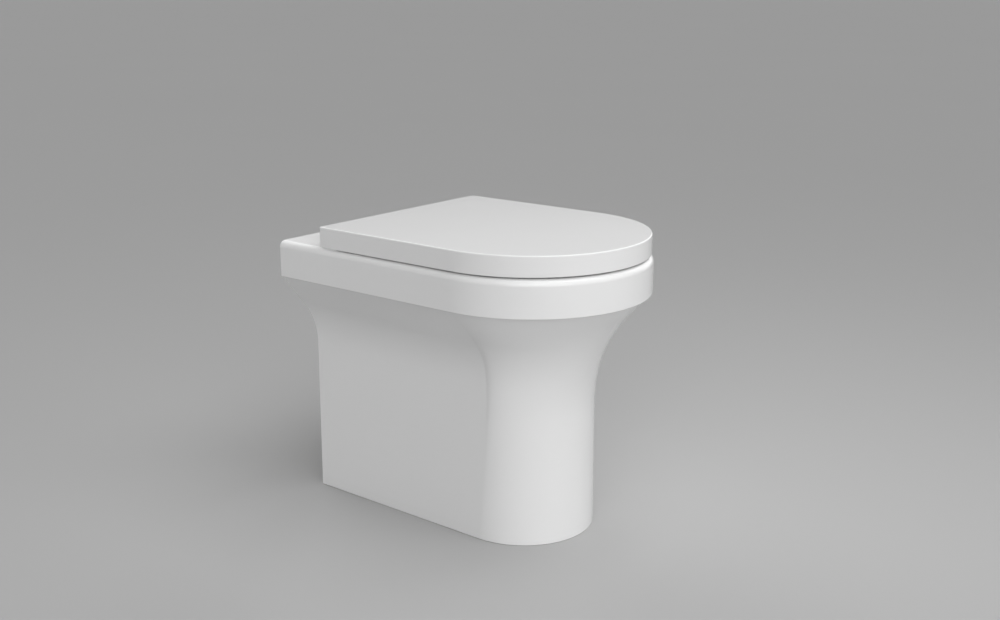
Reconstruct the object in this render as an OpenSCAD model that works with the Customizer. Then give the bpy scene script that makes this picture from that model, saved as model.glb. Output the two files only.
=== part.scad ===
// Back to wall toilet: a china pan that stands on the floor with its back to the wall,
// a soft-close seat and a wrap-over lid on two quick-release hinges.
// Origin: middle of the footprint box, on the floor. +Z up, front towards -Y, wall at +Y.

/* [Pan] */
// Width of the rim band
pan_w = 360; // [340:1:400]
// Projection from the wall to the front of the rim
pan_l = 525; // [500:1:560]
// Height of the rim above the floor
pan_h = 422; // [412:1:440]
// Height of the band round the rim
band_h = 55.5; // [48:0.5:60]
// Thickness of the outer china walls
china_t = 10; // [8:0.5:12]
// Thickness of the rim plate and deck
rim_t = 12; // [10:0.5:14]
// Rounding of the rim's top edge
rim_round = 10.5; // [6:0.5:12]
// Rounding of the band's lower edge
band_round = 2; // [1:0.5:4]
// Width of the flat top of the rim beside the bowl opening
rim_top_w = 48; // [40:1:54]
// Depth of the deck, from the wall to the bowl opening
deck_l = 160; // [150:1:175]
// Corner radius at the back of the bowl opening
opening_corner_r = 70; // [50:1:90]
// Rounding of the bowl opening's edge
opening_round = 6; // [3:0.5:8]

/* [Pedestal] */
// Width of the pedestal at the floor
foot_w = 217; // [200:1:240]
// Length of the pedestal at the floor
foot_l = 443; // [425:1:460]
// Distance from the wall to where the pedestal's round front starts
foot_straight = 333; // [310:1:345]
// Draft of the pedestal walls between the floor and the neck
foot_draft = 2; // [0:0.5:4]
// Height at which the sides start to flare
side_flare_z = 244; // [220:1:260]
// Radius of the side flare
side_flare_r = 110; // [80:1:125]
// Height at which the front starts to flare
front_flare_z = 191; // [170:1:220]
// How much tighter the front flare bends than one arc up to the neck
front_flare_ease = 7.5; // [0:0.5:30]
// How much longer the flat sides are where the front starts to flare than at the foot
front_run = 15; // [0:1:25]
// How far ahead of the flat sides' ends the flaring front is widest
front_lead = 12; // [0:1:20]
// How much tighter than an ellipse the front turns next to the flat sides
front_turn = 0.18; // [0:0.02:0.3]
// Set-back of the neck under the band
neck_inset = 5; // [3:0.5:8]
// Width of a foot lug, inwards from the pedestal wall
lug_w = 38; // [32:1:44]
// Length of a foot lug
lug_l = 44; // [36:1:60]
// Height of a foot lug
lug_h = 20; // [14:1:30]
// Distance from the wall to the floor fixing holes
fixing_d = 62; // [50:1:90]
// Distance between the two floor fixing holes
fixing_pitch = 156; // [150:1:160]
// Diameter of the floor fixing holes
fixing_bore = 11; // [8:0.5:13]

/* [Bowl and trap] */
// Thickness of the bowl and trap walls
bowl_t = 9; // [7:0.5:10]
// Least gap between the bowl's outside and the pedestal's walls
bowl_gap = 3.5; // [2:0.5:8]
// Bore radius of the trap
trap_r = 34; // [30:0.5:36]
// Straight length of the trap's rising leg
riser_l = 67; // [60:1:72]
// Height of the outlet's centre above the floor
outlet_z = 180; // [175:1:185]
// Outside diameter of the outlet spigot
outlet_d = 102; // [96:1:110]
// Length of the outlet spigot
outlet_l = 58; // [45:1:62]
// Set-back of the outlet spigot and flush inlet from the wall
outlet_setback = 12; // [5:1:20]
// Height of the flush inlet's centre above the floor
inlet_z = 330; // [322:1:331]
// Bore diameter of the flush inlet socket
inlet_bore = 55; // [50:1:57]
// Depth of the flush inlet socket
inlet_l = 60; // [40:1:70]
// Bore diameter of the flushway beyond the socket
flushway_d = 40; // [30:1:46]
// Wall of the flush inlet horn
inlet_t = 7.5; // [6:0.5:9]

/* [Lid] */
// Set-back of the lid's edge from the rim's edge
lid_inset = 3; // [1:0.5:4]
// Distance from the wall to the lid's back edge
lid_back_d = 87.5; // [84:0.5:92]
// Height of the lid's side wall at the front
lid_h = 29.8; // [28:0.2:32]
// Gap between the rim and the lid's lower edge at the front
lid_gap = 2.2; // [2:0.2:4]
// How much lower the lid's lower edge is at the back than at the front
lid_fall = 1.2; // [0:0.2:1.4]
// Thickness of the lid's top
lid_t = 3.5; // [3:0.5:4]
// Thickness of the lid's side wall
lid_wall = 4; // [3:0.5:5]
// Rounding of the lid's top edge
lid_round = 2; // [1:0.5:3]
// Clearance over the rim of the lid's heel as the lid swings
lid_heel_gap = 1; // [0.6:0.2:2]

/* [Seat] */
// Thickness of the seat ring
seat_t = 18.5; // [16:0.5:19]
// Gap between the rim and the seat's underside, filled by the buffers
seat_gap = 3.5; // [3:0.5:4]
// Gap between the seat's edge and the inside of the lid's wall
seat_lid_gap = 2.5; // [1.5:0.5:4]
// Width of the opening in the seat
seat_hole_w = 224; // [200:1:240]
// Length of the straight stretch of the opening in the seat
seat_hole_straight = 43; // [20:1:70]
// Rounding of the seat's top edges
seat_round = 6; // [3:0.5:8]
// Rounding of the seat's lower edges
seat_low_round = 3; // [1:0.5:5]

/* [Hinges] */
// Distance between the two hinges
hinge_pitch = 156; // [150:1:170]
// Height of the hinge axis above the deck
axis_h = 21; // [20.5:0.1:21.3]
// Distance from the lid's back edge to the hinge axis
axis_inset = 10.5; // [9.5:0.5:11]
// Distance from the hinge axis forward to the fixing screw
crank_l = 24; // [22:1:30]
// Width of a hinge pillar
pillar_w = 18; // [16.5:0.5:22]
// Radius of the hinge barrels
barrel_r = 7; // [6.5:0.1:7]
// Length of the hinge barrels
barrel_l = 24; // [18:1:32]
// Radius of the hinge shafts
shaft_r = 2.5; // [2:0.1:3]
// Radius of the damper cartridges and bushes
damper_r = 5.2; // [4.6:0.1:5.5]
// Diameter of the hinge base discs
disc_d = 34; // [28:1:38]
// Thickness of the hinge base discs
disc_t = 2.2; // [1.5:0.1:2.4]
// Thickness of the gaskets under the discs
gasket_t = 1; // [0.8:0.1:1.2]
// Radius of the post on a hinge base
post_r = 5.5; // [5.3:0.1:6]
// Height of the post on a hinge base
post_h = 12; // [11:0.5:12]
// Travel of a quick-release button
button_travel = 2; // [1:0.1:2]
// Radius of the fixing screws
screw_r = 3; // [2.5:0.1:3.2]
// Radius of the fixing holes in the deck
deck_hole_r = 7.25; // [7:0.05:8]

/* [Buffers] */
// Radius of the seat buffers
seat_buffer_r = 9; // [6:0.5:12]
// Radius of the lid buffers
lid_buffer_r = 7; // [5:0.5:10]
// Angle of the front buffers, from the side
buffer_angle = 55; // [40:1:65]
// Distance of the rear buffers behind the start of the round front
rear_buffer_y = 142; // [120:1:150]

/* [Hidden] */
$fn = 96;

slack = 0.1;              // clearance between parts that are assembled and stay put
press_gap = 0.02;         // radial gap of a pressed or moulded-in piece
run_gap = 0.05;           // radial running clearance of the hinge shafts
rest_gap = 0.2;           // gap under a buffer at rest
side_gap = 1;             // side clearance of pillars and barrels
over = 1;                 // overshoot of a cutting shape
bite = 2;                 // how far joined shapes reach into each other
neck_shift = 3;           // how far the neck's round front starts behind the band's

wall_y = pan_l / 2;
band_z = pan_h - band_h;
arc_y = -pan_l / 2 + pan_w / 2;
rim_under_z = pan_h - rim_t;
opening_hw = pan_w / 2 - rim_top_w;
opening_back_y = wall_y - deck_l;

neck_hw = pan_w / 2 - neck_inset;
neck_front = pan_l - neck_inset;
neck_straight = pan_l - pan_w / 2 - neck_shift;
side_overhang = neck_hw - (foot_w / 2 - foot_draft);
front_overhang = neck_front - (foot_l - foot_draft);

lid_hw = pan_w / 2 - lid_inset;
lid_low_z = pan_h + lid_gap;
lid_top_z = lid_low_z + lid_h;
lid_under_z = lid_top_z - lid_t;
lid_back_y = wall_y - lid_back_d;

knuckle_gap = 1.5;        // gap between the seat's back edge and the lid's barrels
axis_y = lid_back_y - axis_inset;
axis_z = pan_h + axis_h;
lid_heel_r = axis_h - lid_heel_gap;

seat_hw = lid_hw - lid_wall - seat_lid_gap;
seat_low_z = pan_h + seat_gap;
seat_top_z = seat_low_z + seat_t;
seat_back_y = axis_y - barrel_r - knuckle_gap;
seat_hole_r = seat_hole_w / 2;
seat_hole_back_y = arc_y + seat_hole_straight;

// hinge pieces, across the object
pillar_in = hinge_pitch / 2 - pillar_w / 2;
pillar_out = hinge_pitch / 2 + pillar_w / 2;
seat_barrel_in = pillar_in - side_gap - barrel_l;
seat_barrel_out = pillar_in - side_gap;
lid_barrel_in = pillar_out + side_gap;
lid_barrel_out = pillar_out + side_gap + barrel_l;
barrel_end_t = 1.8;
shaft_in = seat_barrel_in + barrel_end_t + bite;
shaft_out = lid_barrel_out - barrel_end_t - bite;

// hinge pillar, seen from the side: distances forward of the axis
column_half = 10;
column_back = crank_l - column_half;
column_front = crank_l + column_half + button_travel;
column_gap = 2;           // clearance between the column's front and the seat
column_skin = 0.6;        // wall left in front of the latch plate
column_cap = 0.6;         // clearance over the screw head
screw_y = axis_y - crank_l;
disc_z = pan_h + gasket_t;
post_z = disc_z + disc_t;
post_top_z = post_z + post_h;
screw_head_h = 3;
screw_head_r = 4.8;
arm_drop = 5;

// quick-release latch: a windowed plate that sits in a groove of the post
latch_t = 3;
latch_rise = 2.4;
latch_z = post_z + latch_rise;
groove_depth = 1.1;
groove_r = post_r - groove_depth;
groove_gap = 0.2;
rail_w = 1.5;             // width of the latch plate beside its window
window_gap = 0.3;         // clearance behind the post with the button pressed
latch_hw = post_r + rail_w;
plate_end_t = 2.6;        // width of the latch plate in front of its window
button_hw = 6.5;
button_seat_t = 1.8;      // how deep the pressed button still sits in its pocket
button_t = button_seat_t + button_travel;
button_lip = 1.2;         // how far the button's head stands above and below the plate
button_z = latch_z - button_lip;
button_h = latch_t + 2 * button_lip;

// pegs that hold the seat buffers
buffer_peg_r = 4;
buffer_peg_h = 6;

// fixing sleeve and nut under the deck
sleeve_gap = 0.15;
sleeve_r = deck_hole_r - sleeve_gap;
sleeve_l = 38;
nut_h = 12;
nut_cone_h = 7;
nut_gap = 0.3;
nut_r = sleeve_r - nut_gap;
cone_r1 = nut_r - 0.5;    // radius of the nut's cone at its foot
cone_wall = 1;            // wall of the nut's cone at its tip
cone_r2 = screw_r + cone_wall;
gasket_inset = 0.5;       // how far the disc covers the gasket's edge
gasket_r = disc_d / 2 - gasket_inset;
sleeve_low_z = pan_h - sleeve_l;

// trap centreline: a straight, a bend up, a riser, the crest bend and a bend to level
entry_heading = 15;
riser_heading = 60;
fall_heading = 50;
entry_l = 20;
up_bend_r = 60;
crest_bend_r = 50;
trap_out_d = outlet_setback + outlet_l;
level_bend_r = crest_bend_r;
trap_run = entry_l * cos(entry_heading)
         + up_bend_r * (sin(riser_heading) - sin(entry_heading))
         + riser_l * cos(riser_heading)
         + crest_bend_r * (sin(riser_heading) + sin(fall_heading))
         + level_bend_r * sin(fall_heading);
trap_y = wall_y - trap_out_d - trap_run;
trap_rise = entry_l * sin(entry_heading)
          + up_bend_r * (cos(entry_heading) - cos(riser_heading))
          + riser_l * sin(riser_heading)
          + crest_bend_r * (cos(fall_heading) - cos(riser_heading))
          - level_bend_r * (1 - cos(fall_heading));
sump_z = outlet_z - trap_rise;

// ---- shared shapes ----

// Right half of a slab's section: width hw, rounded outer corners at the top and bottom
module half_section(hw, z0, z1, top_r, low_r) {
    difference() {
        translate([0, z0]) square([hw, z1 - z0]);
        if (top_r > 0)
            translate([hw - top_r, z1 - top_r])
                difference() {
                    square(top_r + over);
                    circle(top_r);
                }
        if (low_r > 0)
            translate([hw - low_r, z0 + low_r])
                mirror([0, 1])
                    difference() {
                        square(low_r + over);
                        circle(low_r);
                    }
    }
}

// Right half of an opening's section: width hw, flared where the edge is rounded
module half_opening(hw, z0, z1, top_r, low_r) {
    translate([0, z0 - over]) square([hw, z1 - z0 + 2 * over]);
    if (top_r > 0)
        difference() {
            translate([hw - over, z1 - top_r]) square([top_r + over, top_r + over]);
            translate([hw + top_r, z1 - top_r]) circle(top_r);
            translate([hw + top_r, z1]) square(2 * over);
        }
    if (low_r > 0)
        difference() {
            translate([hw - over, z0 - over]) square([low_r + over, low_r + over]);
            translate([hw + low_r, z0 + low_r]) circle(low_r);
        }
}

// Half turn of a section about the vertical through y, towards the front
module front_turn(y) {
    translate([0, y, 0]) rotate([0, 0, 180]) rotate_extrude(angle = 180) children();
}

// Half turn of a section about the vertical through y, towards the wall
module back_turn(y) {
    translate([0, y, 0]) rotate_extrude(angle = 180) children();
}

// A section and its mirror image, run straight from y0 back to y1
module straight_run(y0, y1) {
    translate([0, y1, 0])
        rotate([90, 0, 0])
            linear_extrude(y1 - y0) {
                children();
                mirror([1, 0]) children();
            }
}

// A slab with straight sides and a round front
module d_slab(hw, z0, z1, top_r, low_r, back_y) {
    front_turn(arc_y) half_section(hw, z0, z1, top_r, low_r);
    straight_run(arc_y, back_y) half_section(hw, z0, z1, top_r, low_r);
}

// A flat shape drawn in Y and Z, run along X from x0 to x1
module along_x(x0, x1) {
    translate([x0, 0, 0]) rotate([90, 0, 90]) linear_extrude(x1 - x0) children();
}

// Mirrors its children to the left when side is -1
module on_side(side) {
    if (side < 0) mirror([1, 0, 0]) children();
    else children();
}

module both_sides() {
    children();
    mirror([1, 0, 0]) children();
}

module rod_x(r, x0, x1) {
    translate([x0, 0, 0]) rotate([0, 90, 0]) cylinder(r = r, h = x1 - x0);
}

// A wall lofted between rings of outer and inner points, open at both ends of each ring
module loft_wall(outer, inner) {
    n = len(outer[0]);
    m = len(outer);
    in0 = n * m;
    points = concat([for (ring = outer) each ring], [for (ring = inner) each ring]);
    skins = [for (i = [0 : m - 2], j = [0 : n - 2])
        let (a = i * n + j, b = a + 1, c = a + n, d = c + 1)
        each [[a, c, d], [a, d, b], [in0 + a, in0 + d, in0 + c], [in0 + a, in0 + b, in0 + d]]];
    low = [for (j = [0 : n - 2]) each [[j, j + 1, in0 + j + 1], [j, in0 + j + 1, in0 + j]]];
    t = (m - 1) * n;
    top = [for (j = [0 : n - 2])
        each [[t + j, in0 + t + j + 1, t + j + 1], [t + j, in0 + t + j, in0 + t + j + 1]]];
    ends = [for (i = [0 : m - 2])
        let (a = i * n, c = a + n, e = a + n - 1, g = e + n)
        each [[a, in0 + c, c], [a, in0 + a, in0 + c], [e, g, in0 + g], [e, in0 + g, in0 + e]]];
    polyhedron(points, concat(skins, low, top, ends));
}

// A solid lofted through closed rings of points
module loft_solid(rings) {
    n = len(rings[0]);
    m = len(rings);
    points = [for (ring = rings) each ring];
    skins = [for (i = [0 : m - 2], j = [0 : n - 1])
        let (k = (j + 1) % n, a = i * n + j, b = i * n + k, c = a + n, d = b + n)
        each [[a, d, c], [a, b, d]]];
    first = [[for (j = [0 : n - 1]) n - 1 - j]];
    last = [[for (j = [0 : n - 1]) (m - 1) * n + j]];
    polyhedron(points, concat(skins, first, last));
}

// ---- pan ----

// Outward curve that starts upright at z0 and reaches dx at z1: an arc of radius r, then straight
function flare(z, z0, z1, dx, r) =
    let (dz = z1 - z0, span = sqrt(dz * dz + (r - dx) * (r - dx)))
    let (lean = asin(min(1, r / span)) - atan2(r - dx, dz), end = r * sin(lean))
    z <= z0 ? 0
    : z - z0 <= end ? r - sqrt(r * r - (z - z0) * (z - z0))
    : r * (1 - cos(lean)) + (z - z0 - end) * tan(lean);

front_flare_r = ((band_z - front_flare_z) ^ 2 + front_overhang ^ 2) / (2 * front_overhang)
    - front_flare_ease;

function neck_out(z) = flare(z, front_flare_z, band_z, front_overhang, front_flare_r);
function neck_w(z) = foot_w / 2 - foot_draft * min(1, z / side_flare_z)
    + flare(z, side_flare_z, band_z, side_overhang, side_flare_r);
function neck_l(z) = foot_l - foot_draft * min(1, z / front_flare_z) + neck_out(z);
function neck_share(z) = neck_out(z) / front_overhang;
function waist(z) = min(1, z / front_flare_z) - neck_share(z);
function neck_arc(z) = foot_straight + front_run * waist(z)
    + (neck_straight - foot_straight) * neck_share(z);
lead_curve = 3.5;
function neck_lead(z) = let (s = (z / band_z) ^ lead_curve) 4 * front_lead * s * (1 - s);

// Outline of the pedestal at height z, shrunk by t: from the left wall round the front. The
// front is nearly an ellipse, and leaves the flat sides at a small angle, as its middle leads them.
pedestal_steps = 14;
pedestal_arc_n = 34;
function pedestal_ring(z, t) =
    let (a = neck_w(z) - t, c = neck_arc(z) + neck_lead(z))
    let (e = neck_l(z) - t - c, m = 1 + front_turn * waist(z))
    let (q0 = asin((neck_lead(z) / e) ^ (1 / m)))
    concat([[-a, wall_y, z]],
        [for (j = [0 : pedestal_arc_n])
            let (q = -q0 + (180 + 2 * q0) * j / pedestal_arc_n, u = sin(q))
            [-a * cos(q) / cos(q0), wall_y - c - e * sign(u) * abs(u) ^ m, z]],
        [[a, wall_y, z]]);
low_level = 0.6 * front_flare_z;
pedestal_levels = concat([0, low_level],
    [for (i = [0 : pedestal_steps])
        front_flare_z + (band_z - front_flare_z) * i / pedestal_steps]);

module foot_lug() {
    x1 = foot_w / 2 - china_t + bite;
    translate([x1 - lug_w - bite, wall_y - fixing_d - lug_l / 2, 0])
        cube([lug_w + bite, lug_l, lug_h]);
}

module pan_pedestal() {
    color("whitesmoke")
        difference() {
            union() {
                loft_wall([for (z = pedestal_levels) pedestal_ring(z, 0)],
                          [for (z = pedestal_levels) pedestal_ring(z, china_t)]);
                both_sides() foot_lug();
            }
            both_sides()
                translate([fixing_pitch / 2, wall_y - fixing_d, -over])
                    cylinder(d = fixing_bore, h = lug_h + 2 * over);
        }
}

// The band: its wall, and the foot that stands on the pedestal's neck
module band_cavity() {
    hw = pan_w / 2 - china_t;
    step_hw = neck_hw - china_t;
    back = wall_y - china_t;
    d_slab(hw, band_z + china_t, rim_under_z, 0, 0, back);
    d_slab(step_hw, band_z - over, band_z + china_t + over, 0, 0, back);
}

module bowl_opening() {
    corner_y = opening_back_y - opening_corner_r;
    corner_x = opening_hw - opening_corner_r;
    front_turn(arc_y) half_opening(opening_hw, rim_under_z, pan_h, opening_round, 0);
    straight_run(arc_y, corner_y)
        half_opening(opening_hw, rim_under_z, pan_h, opening_round, 0);
    both_sides()
        translate([corner_x, corner_y, 0])
            rotate_extrude(angle = 90)
                half_opening(opening_corner_r, rim_under_z, pan_h, opening_round, 0);
    along_x(-corner_x, corner_x)
        translate([corner_y, 0])
            half_opening(opening_corner_r, rim_under_z, pan_h, opening_round, 0);
}

module pan_rim() {
    color("whitesmoke")
        difference() {
            d_slab(pan_w / 2, band_z, pan_h, rim_round, band_round, wall_y);
            band_cavity();
            bowl_opening();
            both_sides()
                translate([hinge_pitch / 2, screw_y, rim_under_z - over])
                    cylinder(r = deck_hole_r, h = rim_t + 2 * over);
        }
}

// The bowl: a lip under the rim plate, then rings that narrow and tilt down to the trap
trap_d = wall_y - trap_y;
bowl_mid_d = (pan_l - rim_top_w + deck_l) / 2;
bowl_top_hd = (pan_l - rim_top_w - deck_l) / 2 + opening_round;
bowl_top_hw = opening_hw + opening_round;
bowl_lip_h = 25;
bowl_lip_draw = 2.5;
bowl_top_squareness = 2.7;

// Room for the bowl's inside within the pedestal's walls: half width, and distance from the wall
function bowl_fit_w(z) = neck_w(min(z, band_z)) - china_t - bowl_t - bowl_gap;
function bowl_fit_l(z) = neck_l(min(z, band_z)) - china_t - bowl_t - bowl_gap;

// Shares of the way from the trap's mouth to the room at that height, but for tilt and squareness:
// height, tilt, half width, half length, middle, squareness
bowl_shares = [
    [0.807, 0, 0.837, 0.9, 1.025, 2.5],
    [0.694, 0, 0.896, 0.955, 1.076, 2.35],
    [0.583, 5, 0.995, 0.902, 1.094, 2.2],
    [0.47, 12, 0.86, 0.761, 1.069, 2.1],
    [0.364, 20, 0.637, 0.551, 1.043, 2],
    [0.267, 32, 0.416, 0.326, 0.967, 2],
    [0.171, 48, 0.236, 0.165, 0.84, 2],
    [0.08, 68, 0.098, 0.062, 0.636, 2],
    [0.023, 90, 0.029, 0.016, 0.331, 2],
    [0, 90 + entry_heading, 0, 0, 0, 2]
];
function bowl_row(share) =
    let (z = sump_z + share[0] * (rim_under_z - sump_z))
    let (d = trap_d + share[4] * (bowl_mid_d - trap_d))
    let (hw = trap_r + share[2] * (bowl_fit_w(z) - trap_r))
    let (hd = trap_r + share[3] * (bowl_fit_l(z) - d - trap_r))
    [d, z, share[1], hw, hd, share[5]];

// Rings of the bowl: distance from the wall, height, tilt, half width, half length, squareness
bowl_rows = concat(
    [[bowl_mid_d, rim_under_z, 0, bowl_top_hw, bowl_top_hd, bowl_top_squareness],
     [bowl_mid_d, rim_under_z - bowl_lip_h, 0,
      bowl_top_hw - bowl_lip_draw, bowl_top_hd - bowl_lip_draw, bowl_top_squareness]],
    [for (share = bowl_shares) bowl_row(share)]);
bowl_n = 32;

// One ring of the bowl, grown by t and moved along its own axis by shift
function bowl_ring(row, t, shift) =
    let (tilt = row[2], e = 2 / row[5])
    let (y0 = wall_y - row[0] + shift * sin(tilt), z0 = row[1] - shift * cos(tilt))
    [for (j = [0 : bowl_n - 1])
        let (q = 360 * j / bowl_n, c = cos(q), s = sin(q))
        let (u = (row[3] + t) * sign(c) * abs(c) ^ e, v = (row[4] + t) * sign(s) * abs(s) ^ e)
        [u, y0 + v * cos(tilt), z0 + v * sin(tilt)]];

bowl_last = len(bowl_rows) - 1;
bowl_outer = [for (row = bowl_rows) bowl_ring(row, bowl_t, 0)];
bowl_inner = concat([bowl_ring(bowl_rows[0], 0, -over)],
                    [for (i = [1 : bowl_last - 1]) bowl_ring(bowl_rows[i], 0, 0)],
                    [bowl_ring(bowl_rows[bowl_last], 0, over)]);

// Cylinder lying along Y from distance d0 to distance d1 off the wall
module rod_y(r, d0, d1, z) {
    translate([0, wall_y - d0, z]) rotate([90, 0, 0]) cylinder(r = r, h = d1 - d0);
}

// The flush horn: a stub on the bowl, and the inlet that carries on to the wall
horn_r = inlet_bore / 2 + inlet_t;
horn_stub = 10;           // how far the stub stands out behind the bowl opening
horn_joint_d = deck_l - horn_stub;

module pan_bowl() {
    color("white")
        difference() {
            union() {
                loft_solid(bowl_outer);
                rod_y(horn_r, horn_joint_d, bowl_mid_d, inlet_z);
            }
            loft_solid(bowl_inner);
            rod_y(flushway_d / 2, horn_joint_d - over, bowl_mid_d, inlet_z);
        }
}

module pan_flush_inlet() {
    color("white")
        difference() {
            rod_y(horn_r, outlet_setback, horn_joint_d, inlet_z);
            rod_y(inlet_bore / 2, outlet_setback - over, outlet_setback + inlet_l, inlet_z);
            rod_y(flushway_d / 2, outlet_setback, horn_joint_d + over, inlet_z);
        }
}

// The trap's centreline lies in the plane X = 0. A station is [y, z, heading], and a heading is
// measured up from +Y.
function ahead(s, length) = [s[0] + length * cos(s[2]), s[1] + length * sin(s[2]), s[2]];
function turned(s, turn, bend_r) =
    let (way = sign(turn), next = s[2] + turn)
    [s[0] + way * bend_r * (sin(next) - sin(s[2])),
     s[1] - way * bend_r * (cos(next) - cos(s[2])),
     next];
bend_step = 14;           // most degrees between two stations of a bend
function bend_stations(s, turn, bend_r) =
    let (steps = ceil(abs(turn) / bend_step))
    [for (i = [1 : steps]) turned(s, turn * i / steps, bend_r)];

up_turn = riser_heading - entry_heading;
crest_turn = -riser_heading - fall_heading;
trap_entry = [trap_y, sump_z, entry_heading];
trap_up = ahead(trap_entry, entry_l);
trap_riser = turned(trap_up, up_turn, up_bend_r);
trap_crest = ahead(trap_riser, riser_l);
trap_fall = turned(trap_crest, crest_turn, crest_bend_r);
trap_exit = turned(trap_fall, fall_heading, level_bend_r);
trap_stations = concat(
    [trap_entry, trap_up],
    bend_stations(trap_up, up_turn, up_bend_r),
    [trap_crest],
    bend_stations(trap_crest, crest_turn, crest_bend_r),
    bend_stations(trap_fall, fall_heading, level_bend_r));

// Ring of radius r across the trap at a station
function trap_ring(s, r) =
    [for (j = [0 : bowl_n - 1])
        let (q = 360 * j / bowl_n)
        [r * cos(q), s[0] - r * sin(q) * sin(s[2]), s[1] + r * sin(q) * cos(s[2])]];

module trap_solid(r, start, end) {
    loft_solid(concat([trap_ring(ahead(trap_entry, -start), r)],
                      [for (i = [1 : len(trap_stations) - 1]) trap_ring(trap_stations[i], r)],
                      [trap_ring(ahead(trap_exit, end), r)]));
}

module pan_trapway() {
    color("white")
        difference() {
            union() {
                trap_solid(trap_r + bowl_t, 0, bite);
                rod_y(outlet_d / 2, outlet_setback, trap_out_d, outlet_z);
            }
            trap_solid(trap_r, over, 2 * bowl_t);
            rod_y(outlet_d / 2 - bowl_t, outlet_setback - over, trap_out_d - bowl_t, outlet_z);
        }
}

// ---- hinges ----

module hinge_base(side) {
    color("silver")
        on_side(side)
            translate([hinge_pitch / 2, screw_y, 0])
                difference() {
                    union() {
                        translate([0, 0, disc_z]) cylinder(d = disc_d, h = disc_t);
                        translate([0, 0, post_z]) cylinder(r = post_r, h = post_h);
                    }
                    translate([0, 0, latch_z - groove_gap])
                        difference() {
                            cylinder(r = post_r + over, h = latch_t + 2 * groove_gap);
                            cylinder(r = groove_r, h = latch_t + 2 * groove_gap);
                        }
                    translate([0, 0, disc_z - over])
                        cylinder(r = screw_r + slack, h = disc_t + post_h + 2 * over);
                }
}

module hinge_gaskets() {
    color("dimgray")
        both_sides()
            translate([hinge_pitch / 2, screw_y, pan_h])
                difference() {
                    cylinder(r = gasket_r, h = gasket_t);
                    translate([0, 0, -over]) cylinder(r = deck_hole_r + slack, h = gasket_t + 2 * over);
                }
}

module hinge_screws() {
    color("silver")
        both_sides()
            translate([hinge_pitch / 2, screw_y, 0]) {
                translate([0, 0, sleeve_low_z - nut_h])
                    cylinder(r = screw_r, h = post_top_z - sleeve_low_z + nut_h);
                translate([0, 0, post_top_z]) cylinder(r = screw_head_r, h = screw_head_h);
            }
}

module expansion_sleeves() {
    color("dimgray")
        both_sides()
            translate([hinge_pitch / 2, screw_y, sleeve_low_z])
                difference() {
                    cylinder(r = sleeve_r, h = sleeve_l);
                    translate([0, 0, -over]) cylinder(r = screw_r + slack, h = sleeve_l + 2 * over);
                    translate([0, 0, -over]) cylinder(r = cone_r1 + slack, h = over + slack);
                    cylinder(r1 = cone_r1 + slack, r2 = cone_r2 + slack, h = nut_cone_h + slack);
                }
}

module cone_nuts() {
    color("goldenrod")
        both_sides()
            translate([hinge_pitch / 2, screw_y, sleeve_low_z])
                difference() {
                    union() {
                        translate([0, 0, -nut_h]) cylinder(r = nut_r, h = nut_h - slack);
                        translate([0, 0, -over]) cylinder(r = cone_r1, h = over);
                        cylinder(r1 = cone_r1, r2 = cone_r2, h = nut_cone_h);
                    }
                    translate([0, 0, -nut_h - over])
                        cylinder(r = screw_r + press_gap, h = nut_h + nut_cone_h + 2 * over);
                }
}

// Side view of a pillar about the hinge axis: a round eye, an arm and a column in front
module pillar_side() {
    circle(barrel_r);
    translate([-column_back - over, -arm_drop]) square([column_back + over, arm_drop + barrel_r]);
    translate([-column_front, post_z + slack - axis_z])
        square([column_front - column_back, axis_z - post_z - slack + barrel_r]);
}

// The slot and pocket that the latch plate and its button slide in, grown by gap
module latch_space(gap) {
    translate([-latch_hw - gap, -column_front + column_skin, latch_z - gap])
        cube([2 * (latch_hw + gap), column_front - column_back, latch_t + 2 * gap]);
    translate([-button_hw - gap, -column_back - button_t - groove_gap, button_z - gap])
        cube([2 * (button_hw + gap), button_t + groove_gap + over, button_h + 2 * gap]);
}

module hinge_pillar(side) {
    color("silver")
        on_side(side)
            difference() {
                translate([0, axis_y, axis_z])
                    difference() {
                        along_x(pillar_in, pillar_out) pillar_side();
                        rod_x(shaft_r + press_gap, pillar_in - over, pillar_out + over);
                    }
                translate([hinge_pitch / 2, screw_y, post_z])
                    cylinder(r = post_r + slack, h = post_h + screw_head_h + column_cap);
                translate([hinge_pitch / 2, axis_y, 0]) latch_space(slack);
            }
}

module hinge_shaft(side) {
    color("silver")
        on_side(side)
            translate([0, axis_y, axis_z]) rod_x(shaft_r, shaft_in, shaft_out);
}

module release_button(side) {
    window_front = groove_r + groove_gap;
    window_back = post_r + button_travel + window_gap;
    plate_front = window_front + plate_end_t;
    head_out = crank_l - column_back + button_travel;
    color("gainsboro")
        on_side(side)
            translate([hinge_pitch / 2, screw_y, 0])
                difference() {
                    union() {
                        translate([-latch_hw, -plate_front, latch_z])
                            cube([2 * latch_hw, plate_front + head_out - over, latch_t]);
                        translate([-button_hw, head_out - button_t, button_z])
                            cube([2 * button_hw, button_t, button_h]);
                    }
                    translate([-post_r - groove_gap, -window_front, latch_z - over])
                        cube([2 * (post_r + groove_gap), window_front + window_back, latch_t + 2 * over]);
                }
}

// A hinge barrel with a blind hole for a damper, open towards the pillar
module barrel_hole(x_open, x_end) {
    r = damper_r + press_gap;
    if (x_open > x_end) rod_x(r, x_end + barrel_end_t, x_open + over);
    else rod_x(r, x_open - over, x_end - barrel_end_t);
}

module cartridge(x0, x1) {
    difference() {
        rod_x(damper_r, x0 + slack, x1 - slack);
        rod_x(shaft_r + run_gap, x0 - over, x1 + over);
    }
}

// ---- seat ----

module seat_opening() {
    front_turn(arc_y) seat_edge();
    straight_run(arc_y, seat_hole_back_y) seat_edge();
    back_turn(seat_hole_back_y) seat_edge();
}

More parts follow.
